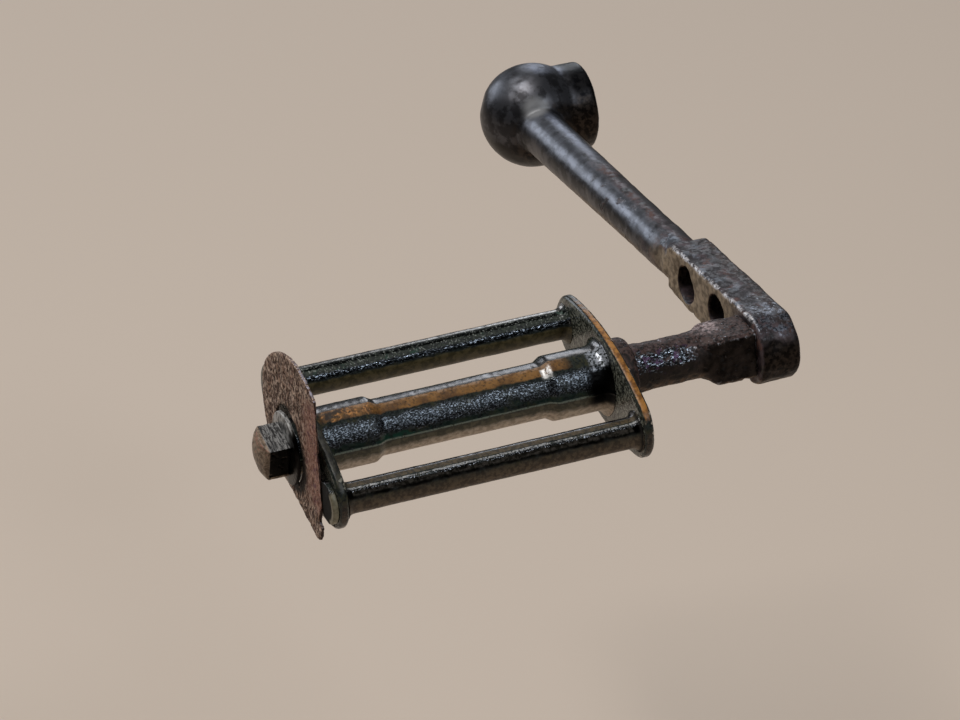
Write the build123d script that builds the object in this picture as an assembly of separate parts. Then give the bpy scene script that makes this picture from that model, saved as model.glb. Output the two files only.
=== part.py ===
from build123d import *
import math
import os

# Right-hand front-wheel crank of an early wire-wheel velocipede, with its pedal.
# Frame: +X from the axle to the pedal, +Y inboard towards the wheel, +Z up, in mm.
# The origin is the centre of the axle bore at its mouth, on the inner face of the boss.

# Boss on the wheel axle
BALL_RADIUS = 16.4
BALL_CENTRE_OUT = 17.6
BOSS_NECK_RADIUS = 13.8
AXLE_BORE_RADIUS = 9.5
AXLE_BORE_DEPTH = 26.0
KEYWAY_WIDTH = 4.0
KEYWAY_DEPTH = 1.8
BOSS_MOUTH_CHAMFER = 0.8

# Crank shank, a round bar that tapers towards the pedal
SHANK_CENTRE_OUT = 20.0
SHANK_ROOT_RADIUS = 7.4
SHANK_END_RADIUS = 6.5

# Flat end of the crank, with the adjusting holes
THROW = 185.0
HOLE_PITCH = 22.0
HOLE_RADIUS = 5.6
FLAT_THICKNESS = 12.0
FLAT_START_TO_HOLE = 10.0
FLAT_SHOULDER_RUN = 4.0
FLAT_FLARE_RUN = 15.0
FLAT_FLARE_DEPTH = 7.8
FLAT_EDGE_CHAMFER = 0.8
EYE_RADIUS = 10.5
EYE_DROP = 1.8
HOLE_COUNT = 3

# Pedal spindle
SHOULDER_SIDE = 14.4
SHOULDER_DROP = 0.8
SHOULDER_LENGTH = 12.0
SHOULDER_RAMP = 4.0
SHAFT_RADIUS = 6.8
SHAFT_FOOT_RADIUS = 7.3
SHAFT_FOOT_LENGTH = 6.0
COLLAR_RADIUS = 9.7
COLLAR_LENGTH = 5.4
COLLAR_ROUND = 1.9
JOURNAL_RADIUS = 5.5
THREAD_RADIUS = 4.0
SHOULDER_CHAMFER = 1.0

# Pedal body of gunmetal
SPINDLE_REACH = 42.0
PEDAL_WIDTH = 92.0
PLATE_THICKNESS = 3.0
PLATE_HALF_LENGTH = 32.5
PLATE_HALF_HEIGHT = 13.3
PLATE_TIP_RADIUS = 9.6
PLATE_BEVEL = 0.7
BARREL_RADIUS = 7.95
BARREL_COLLAR_RADIUS = 9.3
BARREL_PROUD = 2.8
OUTER_COLLAR_LENGTH = 17.2
INNER_COLLAR_LENGTH = 16.0
BARREL_STEP_RUN = 2.2
BARREL_FLARE = 2.6
ROD_RADIUS = 4.4
ROD_SPACING = 52.0
ROD_FLARE = 2.4
FLARE_LIP = 0.2
RIVET_RADIUS = 2.6
PEDAL_TILT = 13.2

# Rusty guard plate and the end nut
GUARD_THICKNESS = 0.9
GUARD_BOSS_RADIUS = 6.0
GUARD_STANDOFF = 1.7
GUARD_HOLE_RADIUS = 11.0
GUARD_HOLE_CENTRE = (-1.0, 0.8)
WASHER_RADIUS = 10.4
WASHER_CONE_RADIUS = 8.4
WASHER_THICKNESS = 1.4
WASHER_RIM = 1.1
NUT_SIDE = 10.7
NUT_LENGTH = 6.0
NUT_DOME = 2.4
NUT_TILT = 20.0
THREAD_LENGTH = 5.2

# Outline of the guard plate: x forward of the spindle and z above it
GUARD_ROUND_BACK = [
    (-17.0, -9.3),
    (-20.9, -1.6),
    (-21.6, 6.4),
    (-19.2, 15.6),
    (-13.0, 22.4),
    (-7.0, 25.9),
    (0.4, 28.4),
    (10.8, 29.1),
    (18.5, 27.0),
    (24.4, 24.0),
]
GUARD_CORRODED_FRONT = [
    (24.4, 24.0),
    (23.6, 17.0),
    (22.9, 10.8),
    (22.4, 5.0),
    (22.8, -2.0),
    (22.2, -9.0),
    (20.4, -13.6),
    (22.4, -15.0),
    (21.2, -17.3),
    (19.8, -19.6),
    (17.3, -20.1),
    (11.9, -18.3),
    (-5.8, -12.7),
    (-17.0, -9.3),
]

# Clearances
RUNNING_FIT = 0.05
RIVET_FIT = 0.05
THREAD_FIT = 0.05
SEAT_FIT = 0.05
COLLAR_GAP = 0.3
WASHER_GAP = 0.3

# Turns, in degrees
HALF_TURN = 180.0
FULL_TURN = 360.0

# Stations across the assembly, measured outboard from the mouth of the axle bore
CRANK_BACK = SHANK_CENTRE_OUT - FLAT_THICKNESS / 2
CRANK_FACE = SHANK_CENTRE_OUT + FLAT_THICKNESS / 2
PLATE_IN = CRANK_FACE + SPINDLE_REACH
PLATE_OUT = PLATE_IN + PEDAL_WIDTH
BARREL_START = PLATE_IN + PLATE_THICKNESS
BARREL_END = PLATE_OUT - PLATE_THICKNESS
WASHER_BACK = PLATE_OUT + BARREL_PROUD + WASHER_GAP
NUT_BACK = WASHER_BACK + WASHER_THICKNESS


def across(station, x=THROW, turn=0.0):
    """A plane square to the spindle, its normal pointing outboard, turned about it."""
    angle = math.radians(turn)
    along = (math.cos(angle), 0, -math.sin(angle))
    return Plane(origin=(x, -station, 0), x_dir=along, z_dir=(0, -1, 0))


def rod_between(start, end, radius, x=THROW):
    """A round bar square to the crank, from one station to the next."""
    return extrude(across(start, x) * Circle(radius), end - start)


def turned(profile, x=THROW):
    """A turned piece from pairs of station and radius, listed from inboard to outboard."""
    outline = [(profile[0][0], 0.0)] + profile + [(profile[-1][0], 0.0)]
    points = [(x + radius, -station, 0) for station, radius in outline]
    face = make_face(Polyline(*points, close=True))
    return revolve(face, Axis((x, 0, 0), (0, -1, 0)), FULL_TURN)


def build_crank_arm():
    """Forged arm: ball boss on a short neck, tapering shank and flat end with its holes."""
    boss = rod_between(0, BALL_CENTRE_OUT, BOSS_NECK_RADIUS, 0)
    boss = chamfer(boss.edges().sort_by(Axis.Y)[-1], BOSS_MOUTH_CHAMFER)
    ball = Pos(0, -BALL_CENTRE_OUT, 0) * Sphere(BALL_RADIUS)
    arm = boss + ball + build_shank() + build_flat_end()
    arm -= rod_between(0, AXLE_BORE_DEPTH, AXLE_BORE_RADIUS, 0)
    keyway = Box(KEYWAY_WIDTH, AXLE_BORE_DEPTH, AXLE_BORE_RADIUS + KEYWAY_DEPTH)
    arm -= Pos(0, -AXLE_BORE_DEPTH / 2, (AXLE_BORE_RADIUS + KEYWAY_DEPTH) / 2) * keyway
    for place in range(HOLE_COUNT):
        hole_x = THROW - place * HOLE_PITCH
        arm -= rod_between(CRANK_BACK, CRANK_FACE, HOLE_RADIUS, hole_x)
    return arm


def flat_start():
    """Distance from the axle to the start of the crank's flat end."""
    return THROW - (HOLE_COUNT - 1) * HOLE_PITCH - FLAT_START_TO_HOLE - FLAT_SHOULDER_RUN


def build_shank():
    """Tapering round shank from the middle of the ball, run out into the flat's faces."""
    root = Plane(origin=(0, -SHANK_CENTRE_OUT, 0), x_dir=(0, 1, 0), z_dir=(1, 0, 0))
    end = root.offset(flat_start())
    run_out = root.offset(flat_start() + FLAT_SHOULDER_RUN)
    sections = [
        root * Circle(SHANK_ROOT_RADIUS),
        end * Circle(SHANK_END_RADIUS),
        run_out * Circle(FLAT_THICKNESS / 2 - FLAT_EDGE_CHAMFER),
    ]
    return loft(sections, ruled=True)


def eye_tangent_point(start_x, start_z):
    """Where a line from a point below the flat touches the eye's underside."""
    angle_to_centre = math.atan2(-EYE_DROP - start_z, -start_x)
    distance = math.hypot(start_x, EYE_DROP + start_z)
    angle = angle_to_centre - math.asin(EYE_RADIUS / distance)
    run = math.sqrt(distance ** 2 - EYE_RADIUS ** 2)
    return (start_x + run * math.cos(angle), start_z + run * math.sin(angle))


def build_flat_end():
    """Flat with a short shoulder on top, a flare below and a deeper eye at the spindle."""
    top = EYE_RADIUS - EYE_DROP
    start = flat_start() - THROW
    flare_start = (start, -SHANK_END_RADIUS)
    flare_end = (start + FLAT_FLARE_RUN, -FLAT_FLARE_DEPTH)
    flare_middle = (start + FLAT_FLARE_RUN / 2, -(FLAT_FLARE_DEPTH + SHANK_END_RADIUS) / 2)
    touch = eye_tangent_point(*flare_end)
    outline = [
        Line((0, top), (start + FLAT_SHOULDER_RUN, top)),
        Line((start + FLAT_SHOULDER_RUN, top), (start, SHANK_END_RADIUS)),
        Line((start, SHANK_END_RADIUS), flare_start),
        TangentArc(flare_start, flare_middle, tangent=(1, 0)),
        TangentArc(flare_end, flare_middle, tangent=(-1, 0)),
        Line(flare_end, touch),
        ThreePointArc(touch, (EYE_RADIUS, -EYE_DROP), (0, top)),
    ]
    flat = extrude(across(CRANK_BACK) * make_face(outline), FLAT_THICKNESS)
    faces = flat.faces().sort_by(Axis.Y)
    rims = faces[0].edges() + faces[-1].edges()
    return chamfer(rims, FLAT_EDGE_CHAMFER)


def build_pedal_spindle():
    """Spindle: stub in the crank, square shoulder, shaft, collar seat, journal and thread."""
    stub = rod_between(CRANK_BACK, CRANK_FACE, HOLE_RADIUS)
    square = Pos(0, -SHOULDER_DROP) * Rectangle(SHOULDER_SIDE, SHOULDER_SIDE)
    block = extrude(across(CRANK_FACE) * square, SHOULDER_LENGTH)
    block = chamfer(block.edges().filter_by(Axis.Y), SHOULDER_CHAMFER)
    ramp_start = CRANK_FACE + SHOULDER_LENGTH
    ramp_top = ramp_start + SHOULDER_RAMP
    ramp_foot = RectangleRounded(SHOULDER_SIDE, SHOULDER_SIDE, SHOULDER_CHAMFER)
    ramp_faces = [
        across(ramp_start) * Pos(0, -SHOULDER_DROP) * ramp_foot,
        across(ramp_top) * Circle(SHAFT_RADIUS),
    ]
    ramp = loft(ramp_faces)
    shaft_end = PLATE_IN - COLLAR_GAP
    foot = shaft_end - COLLAR_LENGTH - SHAFT_FOOT_LENGTH
    shaft = turned([
        (ramp_top, SHAFT_RADIUS),
        (foot, SHAFT_RADIUS),
        (shaft_end - COLLAR_LENGTH, SHAFT_FOOT_RADIUS),
        (shaft_end, SHAFT_FOOT_RADIUS),
        (shaft_end, JOURNAL_RADIUS),
        (WASHER_BACK, JOURNAL_RADIUS),
        (WASHER_BACK, THREAD_RADIUS),
        (NUT_BACK + THREAD_LENGTH, THREAD_RADIUS),
    ])
    return stub + block + ramp + shaft


def build_inner_collar():
    """Rounded bead shrunk on the spindle beside the inner plate."""
    shaft_end = PLATE_IN - COLLAR_GAP
    bead = rod_between(shaft_end - COLLAR_LENGTH, shaft_end, COLLAR_RADIUS)
    bead = fillet(bead.edges().filter_by(GeomType.CIRCLE), COLLAR_ROUND)
    bore_radius = SHAFT_FOOT_RADIUS + SEAT_FIT
    return bead - rod_between(shaft_end - COLLAR_LENGTH, shaft_end, bore_radius)


def pedal_plane(station):
    """A plane square to the spindle, its local x along the pedal's plates."""
    return across(station, THROW, PEDAL_TILT)


def oval_face(half_length, half_height, tip_radius):
    """Long oval of two flat arcs, tangent to a round tip at each end."""
    tip_centre = half_length - tip_radius
    flat_radius = (tip_centre ** 2 + half_height ** 2 - tip_radius ** 2) / (
        2 * (half_height - tip_radius)
    )
    drop = flat_radius - half_height
    reach = flat_radius / math.hypot(tip_centre, drop)
    join_x = tip_centre * reach
    join_y = drop * reach - drop
    return make_face([
        ThreePointArc((-join_x, join_y), (0, half_height), (join_x, join_y)),
        ThreePointArc((join_x, join_y), (half_length, 0), (join_x, -join_y)),
        ThreePointArc((join_x, -join_y), (0, -half_height), (-join_x, -join_y)),
        ThreePointArc((-join_x, -join_y), (-half_length, 0), (-join_x, join_y)),
    ])


def build_plate(station):
    """Gunmetal end plate, seated on the barrel's end and drilled for the rods' rivets."""
    oval = oval_face(PLATE_HALF_LENGTH, PLATE_HALF_HEIGHT, PLATE_TIP_RADIUS)
    plate = extrude(pedal_plane(station) * oval, PLATE_THICKNESS)
    ends = plate.faces().sort_by(Axis.Y)
    plate = chamfer(ends[0].edges() + ends[-1].edges(), PLATE_BEVEL)
    seat = Circle(BARREL_RADIUS + SEAT_FIT)
    plate -= extrude(pedal_plane(station) * seat, PLATE_THICKNESS)
    for side in (-1, 1):
        rivet_hole = Pos(side * ROD_SPACING / 2, 0) * Circle(RIVET_RADIUS + RIVET_FIT)
        plate -= extrude(pedal_plane(station) * rivet_hole, PLATE_THICKNESS)
    return plate


def build_flare(plane, radius, reach):
    """Disc with a hollow quarter-round edge, where a round bar spreads onto a plate."""
    disc = extrude(plane * Circle(radius + reach - FLARE_LIP), reach)
    return disc - plane.offset(reach) * Torus(radius + reach, reach)


def build_barrel():
    """Bearing barrel through both plates, with a raised collar inside each of them."""
    inner_step = BARREL_START + INNER_COLLAR_LENGTH
    outer_step = BARREL_END - OUTER_COLLAR_LENGTH
    barrel = turned([
        (PLATE_IN, BARREL_RADIUS),
        (BARREL_START, BARREL_RADIUS),
        (BARREL_START, BARREL_COLLAR_RADIUS),
        (inner_step, BARREL_COLLAR_RADIUS),
        (inner_step + BARREL_STEP_RUN, BARREL_RADIUS),
        (outer_step - BARREL_STEP_RUN, BARREL_RADIUS),
        (outer_step, BARREL_COLLAR_RADIUS),
        (BARREL_END, BARREL_COLLAR_RADIUS),
        (BARREL_END, BARREL_RADIUS),
        (PLATE_OUT + BARREL_PROUD, BARREL_RADIUS),
    ])
    barrel += build_flare(across(BARREL_START), BARREL_COLLAR_RADIUS, BARREL_FLARE)
    facing_in = Plane(origin=(THROW, -BARREL_END, 0), z_dir=(0, 1, 0))
    barrel += build_flare(facing_in, BARREL_COLLAR_RADIUS, BARREL_FLARE)
    bore_radius = JOURNAL_RADIUS + RUNNING_FIT
    return barrel - rod_between(PLATE_IN, PLATE_OUT + BARREL_PROUD, bore_radius)


def build_rod(side):
    """Tread rod flared onto both plates, with tenons riveted through them."""
    centre = Pos(side * ROD_SPACING / 2, 0)
    inner_foot = pedal_plane(BARREL_START) * centre
    outer_foot = pedal_plane(BARREL_END) * centre * Rot(HALF_TURN, 0, 0)
    rod = extrude(pedal_plane(PLATE_IN) * centre * Circle(RIVET_RADIUS), PEDAL_WIDTH)
    rod += extrude(inner_foot * Circle(ROD_RADIUS), BARREL_END - BARREL_START)
    rod += build_flare(Plane(inner_foot), ROD_RADIUS, ROD_FLARE)
    rod += build_flare(Plane(outer_foot), ROD_RADIUS, ROD_FLARE)
    return rod


def build_front_rod():
    """The front tread rod, with a flat boss outside the outer plate that carries the guard."""
    boss = pedal_plane(PLATE_OUT) * Pos(ROD_SPACING / 2, 0) * Circle(GUARD_BOSS_RADIUS)
    return build_rod(1) + extrude(boss, GUARD_STANDOFF)


def build_guard_plate():
    """Thin iron plate on the front rod's boss, with a worn hole round the washer."""
    face = make_face([Spline(*GUARD_ROUND_BACK), Polyline(*GUARD_CORRODED_FRONT)])
    face -= Pos(*GUARD_HOLE_CENTRE) * Circle(GUARD_HOLE_RADIUS)
    return extrude(across(PLATE_OUT + GUARD_STANDOFF) * face, GUARD_THICKNESS)


def build_end_washer():
    """Coned washer between the outer plate and the nut."""
    washer = turned([
        (WASHER_BACK, WASHER_RADIUS),
        (WASHER_BACK + WASHER_RIM, WASHER_RADIUS),
        (NUT_BACK, WASHER_CONE_RADIUS),
    ])
    return washer - rod_between(WASHER_BACK, NUT_BACK, THREAD_RADIUS + THREAD_FIT)


def build_end_nut():
    """Square cap nut with a low domed end."""
    square = across(NUT_BACK, THROW, NUT_TILT) * Rectangle(NUT_SIDE, NUT_SIDE)
    nut = extrude(square, NUT_LENGTH + 2 * NUT_DOME)
    corner = NUT_SIDE / math.sqrt(2)
    dome_radius = (corner ** 2 + NUT_DOME ** 2) / (2 * NUT_DOME)
    dome_centre = NUT_BACK + NUT_LENGTH + NUT_DOME - dome_radius
    nut &= Pos(THROW, -dome_centre, 0) * Sphere(dome_radius)
    return nut - rod_between(NUT_BACK, NUT_BACK + THREAD_LENGTH, THREAD_RADIUS + THREAD_FIT)


pieces = {
    "crank_arm": build_crank_arm(),
    "pedal_spindle": build_pedal_spindle(),
    "inner_collar": build_inner_collar(),
    "inner_plate": build_plate(PLATE_IN),
    "outer_plate": build_plate(BARREL_END),
    "barrel": build_barrel(),
    "front_rod": build_front_rod(),
    "rear_rod": build_rod(-1),
    "guard_plate": build_guard_plate(),
    "end_washer": build_end_washer(),
    "end_nut": build_end_nut(),
}

os.makedirs("parts", exist_ok=True)
for name, piece in pieces.items():
    export_step(piece, f"parts/{name}.step")
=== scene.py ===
import math

import bmesh
import bpy
from mathutils import Matrix, Vector, noise


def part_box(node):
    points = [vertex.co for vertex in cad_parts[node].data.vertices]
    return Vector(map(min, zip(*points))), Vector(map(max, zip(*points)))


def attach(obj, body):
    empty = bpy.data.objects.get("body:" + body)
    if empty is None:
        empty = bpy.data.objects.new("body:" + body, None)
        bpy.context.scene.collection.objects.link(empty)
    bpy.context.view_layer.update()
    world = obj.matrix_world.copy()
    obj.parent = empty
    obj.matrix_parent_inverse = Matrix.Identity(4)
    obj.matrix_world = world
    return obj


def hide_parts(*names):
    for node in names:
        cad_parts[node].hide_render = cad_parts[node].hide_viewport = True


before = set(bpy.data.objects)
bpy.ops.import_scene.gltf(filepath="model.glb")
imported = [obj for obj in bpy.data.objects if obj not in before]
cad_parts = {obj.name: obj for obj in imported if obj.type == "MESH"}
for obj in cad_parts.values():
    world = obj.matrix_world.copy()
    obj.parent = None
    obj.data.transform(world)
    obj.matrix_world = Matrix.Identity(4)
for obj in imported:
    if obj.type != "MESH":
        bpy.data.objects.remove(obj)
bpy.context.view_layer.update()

MM = 0.001
MM_PER_M = 1000.0

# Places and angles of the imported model, in metres
BARREL_LOW, BARREL_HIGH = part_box("barrel")
BARREL_AXIS = Vector(((BARREL_LOW.x + BARREL_HIGH.x) / 2, 0, 0))
PLATE_TILT = math.radians(13.2)
PLATE_ALONG = Vector((math.cos(PLATE_TILT), 0, -math.sin(PLATE_TILT)))
ROD_REACH = 26.0 * MM
FRONT_ROD_AXIS = BARREL_AXIS + PLATE_ALONG * ROD_REACH
REAR_ROD_AXIS = BARREL_AXIS - PLATE_ALONG * ROD_REACH

# Places of details in the finishes, in metres
INNER_STEP_AT = (0, -0.0885, 0)
FLARE_AT = (0, -0.073, 0)
# Centre of the painted shade round the washer on the guard
SHADE_RING_AT = (0.1865, -0.162, -0.001)
EYE_AT = (0.185, -0.026, -0.0018)
RAMP_AT = (0.182, -0.0385, 0.0066)
JOINT_AT = (0.014, -0.0215, 0.0075)
ARRIS_AT = (0, -0.0257, 0.0084)
NUT_EDGE_AT = (0.1882, 0, -0.0069)
WASHER_LIT_AT = (0.1795, -0.164, 0.0085)
WASHER_LIP_AT = (0.183, -0.164, -0.0105)

# Directions that surfaces face, in the shared frame
UP = (0, 0, 1)
DOWN = (0, 0, -1)
OUTBOARD = (0, -1, 0)
TO_TIP = (1, 0, 0)
TIP_FACE = (0.97, 0, -0.24)
TIP_CORNER = (0.42, 0, 0.91)
BALL_UNDERSIDE = (0, -0.45, -0.89)
LIT_LINE = (0, -0.50, 0.866)
SECOND_LINE = (0, 0.26, 0.97)
LOW_LINE = (0, -0.70, 0.71)
WORN_TOP = (0, 0.25, 0.97)
UPPER_INBOARD = (0, 0.82, 0.57)
UPPER_OUTBOARD = (0, -0.45, 0.89)
LOWER_OUTBOARD = (0, -0.80, -0.60)
CRANK_BOTTOM = (-0.1, -0.25, -0.96)
SHAFT_LIT_SIDE = (0.83, 0, 0.56)
SHAFT_FRONT = (0.80, 0, 0.60)
RIM_TOP = (0.52, 0, 0.855)
RIM_REAR = (-0.42, 0, 0.91)
RIM_FRONT = (0.90, 0, -0.44)
GUARD_UPPER_EDGE = (0.62, 0, 0.78)
GUARD_FRONT_EDGE = (1, 0, -0.1)
NUT_CROWN_EDGE = (0.2, -0.75, 0.62)
NUT_FRONT = (0.94, 0, -0.34)
NUT_UNDERSIDE = (0.05, 0, -1.0)
WASHER_FRONT = (0.80, 0, -0.60)

# Axes that a distance is measured over
ALONG_CRANK = (1, 0, 0)
ALONG_SPINDLE = (0, 1, 0)
ACROSS_CRANK = (0, 1, 1)
ACROSS_SPINDLE = (1, 0, 1)
ALL_WAYS = (1, 1, 1)

# Raised lines: the side each one lies on, then the least radius it lies at, its height and width in mm
MOULD_ANGLE = -3.0
MOULD_LINE = (7.5, 0.25, 0.35)
FRONT_WEAR = (0.530, 0, 0.848)
FRONT_WEAR_LINE = (3.9, 0.13, 0.40)
REAR_WEAR = (0.829, 0, 0.559)
REAR_WEAR_LINE = (3.9, 0.18, 0.45)
LINE_WANDER = 0.35
WANDER_GRAIN, WANDER_SEED = 12.0, 5
RAGGED_GRAIN, RAGGED_SEED = 1.6, 9
RAGGED_MEAN = 0.8

# Where the crank's flat end starts, in metres, and the share of the wear that calmer places take
SHANK_END = 0.095
SHANK_FADE = 0.03
SHANK_SHARE = 0.3
RIM_SHARE = 0.35

# The guard's thinned front margin and its nub of scale, in mm, but the nub's place in metres
MARGIN_WIDTH = 11.5
MARGIN_DEPTH = 0.45
MARGIN_FOOT = -12.0
MARGIN_TOP = 24.0
MARGIN_FADE = 5.0
MARK_STRENGTH = 2.0
NUB_AT = Vector((0.209, -0.163, 0.009))
NUB_RADIUS = 1.6
NUB_HEIGHT = 0.8

# Stretch of the wear's grain along each axis
EVEN = (1, 1, 1)
UPRIGHT = (0.7, 0.7, 2.2)
ROUND_NUT = (8.0, 0.8, 8.0)

# Shift of the noise along each axis, for each step of a piece's seed
SEED_STEPS = (1.0, 1.7, 0.6)

# Remaking of the meshes
MERGE_DISTANCE = 1e-6
SMOOTHING_FACTOR = 0.5

# Noise in the shader groups: scales in grains per metre, levels, and the softness of a pit's edge
EDGE_NOISE = 500.0
FACING_NOISE = 450.0
BAND_NOISE = 300.0
COARSE_GRAIN = 0.35
NOISE_MEAN = 0.5
BREAKUP_LOW, BREAKUP_HIGH = 0.35, 0.65
PIT_EDGE = 0.25

# Pointiness of the meshes, which is near 0.5 where they are flat
EDGE_SWING = 0.012
WORN_FROM, WORN_BASE = 0.522, 0.52
HOLLOW_FROM, HOLLOW_BASE = 0.49, 0.5

# Metallic value of bare metal and of wet-looking paint
METAL = 1.0

# Painted glints: the bluish tint of their pale specks, that of the near-black ground, the softness of their
# edges, their stretch
GLINT_TINT = (0.86, 0.97, 1.12)
GROUND_TINT = (1.0, 1.1, 1.2)
SPECK_EDGE = 0.12
SPECK_STRETCH = (1.0, 0.55, 1.0)

# Stretches of the pieces in mm, each from where a finish is nothing to where it is full
FLAT_END = (122, 128)
ROD_BEFORE_BOSS = (-157, -155)
BLOCK = (-46, -42)
NUT_DOME = (-170.2, -170.6)
NUT_SIDES = (-170.6, -170.2)

# Size in mm and cover of the spindle's pits
SPINDLE_PITS = (1.6, 0.34)


# Shader helpers

def feed(tree, node, inputs):
    """Gives a node's inputs their values, or links those that come from a socket."""
    for key, value in inputs.items():
        if isinstance(value, bpy.types.NodeSocket):
            tree.links.new(value, node.inputs[key])
        else:
            node.inputs[key].default_value = value


def put(tree, kind, inputs=None, **settings):
    """A new node with its settings and its inputs."""
    node = tree.nodes.new(kind)
    for key, value in settings.items():
        setattr(node, key, value)
    feed(tree, node, inputs or {})
    return node


def math_node(tree, operation, first, second):
    """The result of one Math node."""
    return put(tree, "ShaderNodeMath", {0: first, 1: second}, operation=operation).outputs[0]


def vector_node(tree, operation, inputs):
    """The result of one Vector Math node: a plain value for a length or a dot product, else a vector."""
    outputs = put(tree, "ShaderNodeVectorMath", inputs, operation=operation).outputs
    return outputs["Value" if operation in ("LENGTH", "DOT_PRODUCT") else "Vector"]


def noise_node(tree, place, scale, detail, roughness=0.5):
    """The outputs of one Noise Texture node."""
    inputs = {"Vector": place, "Scale": scale, "Detail": detail, "Roughness": roughness}
    return put(tree, "ShaderNodeTexNoise", inputs).outputs


def smooth_range(tree, value, low, high, to_low=0.0, to_high=1.0):
    """A smooth step from one value to another."""
    inputs = {"Value": value, "From Min": low, "From Max": high, "To Min": to_low, "To Max": to_high}
    return put(tree, "ShaderNodeMapRange", inputs, interpolation_type="SMOOTHSTEP").outputs["Result"]


def blend_colours(tree, factor, first, second):
    """Two colours blended by a factor: the Mix node takes them at its inputs 6 and 7."""
    inputs = {0: factor}
    for key, colour in ((6, first), (7, second)):
        inputs[key] = colour if isinstance(colour, bpy.types.NodeSocket) else (*colour, 1.0)
    return put(tree, "ShaderNodeMix", inputs, data_type="RGBA", clamp_factor=True).outputs[2]


def blend_values(tree, factor, first, second):
    """Two plain values blended by a factor: the Mix node takes them at its inputs 2 and 3."""
    inputs = {0: factor, 2: first, 3: second}
    return put(tree, "ShaderNodeMix", inputs, data_type="FLOAT", clamp_factor=True).outputs[0]


def new_group(name, vectors, values, results):
    """A node group with its named sockets, and the sockets where its inputs come in."""
    tree = bpy.data.node_groups.new(name, "ShaderNodeTree")
    sockets = [(key, "INPUT", "NodeSocketVector") for key in vectors]
    sockets += [(key, "INPUT", "NodeSocketFloat") for key in values]
    sockets += [(key, "OUTPUT", "NodeSocketFloat") for key in results]
    for key, direction, kind in sockets:
        tree.interface.new_socket(name=key, in_out=direction, socket_type=kind)
    return tree, put(tree, "NodeGroupInput").outputs


def build_mottle_group():
    """Patches: noise of one size in mm, turned into a mask between two levels."""
    tree, entry = new_group("mottle", ["Vector"], ["Size mm", "Detail", "Low", "High"], ["Mask"])
    scale = math_node(tree, "DIVIDE", MM_PER_M, entry["Size mm"])
    patches = noise_node(tree, entry["Vector"], scale, entry["Detail"], roughness=0.6)["Fac"]
    put(tree, "NodeGroupOutput", {"Mask": smooth_range(tree, patches, entry["Low"], entry["High"])})
    return tree


def build_pit_group():
    """Corrosion pits: rounded hollows of one size, their outlines stirred by noise of that size."""
    tree, entry = new_group("pits", ["Vector"], ["Size mm", "Cover"], ["Mask"])
    scale = math_node(tree, "DIVIDE", MM_PER_M, entry["Size mm"])
    stir = noise_node(tree, entry["Vector"], scale, detail=2.0)["Color"]
    shift = vector_node(tree, "SUBTRACT", {0: stir, 1: [NOISE_MEAN] * 3})
    size = math_node(tree, "MULTIPLY", entry["Size mm"], MM)
    spread = vector_node(tree, "SCALE", {0: shift, "Scale": size})
    place = vector_node(tree, "ADD", {0: entry["Vector"], 1: spread})
    cells = put(tree, "ShaderNodeTexVoronoi", {"Vector": place, "Scale": scale, "Randomness": 1.0})
    deep = math_node(tree, "SUBTRACT", entry["Cover"], PIT_EDGE)
    mask = smooth_range(tree, cells.outputs["Distance"], deep, entry["Cover"], 1.0, 0.0)
    put(tree, "NodeGroupOutput", {"Mask": mask})
    return tree


def build_grain_group():
    """Fine grain for sparkling highlights: a height from two sizes of noise."""
    tree, entry = new_group("grain", ["Vector"], ["Size mm"], ["Height"])
    scale = math_node(tree, "DIVIDE", MM_PER_M, entry["Size mm"])
    coarse_scale = math_node(tree, "MULTIPLY", scale, COARSE_GRAIN)
    fine = noise_node(tree, entry["Vector"], scale, detail=3.0, roughness=0.7)["Fac"]
    coarse = noise_node(tree, entry["Vector"], coarse_scale, detail=3.0)["Fac"]
    put(tree, "NodeGroupOutput", {"Height": blend_values(tree, 0.5, fine, coarse)})
    return tree


def build_edge_group():
    """Wear on sharp edges and a darker colour in hollows, from the mesh's own pointiness."""
    tree, entry = new_group("edges", ["Vector"], ["Sharpness"], ["Worn", "Hollow"])
    pointed = put(tree, "ShaderNodeNewGeometry").outputs["Pointiness"]
    breakup = noise_node(tree, entry["Vector"], EDGE_NOISE, detail=4.0)["Fac"]
    swing = smooth_range(tree, breakup, BREAKUP_LOW, BREAKUP_HIGH, -EDGE_SWING, EDGE_SWING)
    level = math_node(tree, "ADD", pointed, swing)
    top = math_node(tree, "ADD", entry["Sharpness"], WORN_BASE)
    bottom = math_node(tree, "SUBTRACT", HOLLOW_BASE, entry["Sharpness"])
    worn = smooth_range(tree, level, WORN_FROM, top)
    hollow = smooth_range(tree, level, HOLLOW_FROM, bottom)
    put(tree, "NodeGroupOutput", {"Worn": worn, "Hollow": hollow})
    return tree


def ragged_mask(tree, entry, value, noise_scale):
    """A mask from a value between the levels Low and High, its limit made ragged by noise."""
    patches = noise_node(tree, entry["Vector"], noise_scale, detail=4.0)["Fac"]
    around_zero = math_node(tree, "SUBTRACT", patches, NOISE_MEAN)
    swing = math_node(tree, "MULTIPLY", around_zero, entry["Ragged"])
    return smooth_range(tree, math_node(tree, "ADD", value, swing), entry["Low"], entry["High"])


def build_facing_group():
    """How far a surface of the piece faces a direction in the piece's own frame, with a ragged limit."""
    tree, entry = new_group("facing", ["Vector", "Direction"], ["Low", "High", "Ragged"], ["Mask"])
    normal = put(tree, "ShaderNodeTexCoord").outputs["Normal"]
    level = vector_node(tree, "DOT_PRODUCT", {0: normal, 1: entry["Direction"]})
    put(tree, "NodeGroupOutput", {"Mask": ragged_mask(tree, entry, level, FACING_NOISE)})
    return tree


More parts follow.
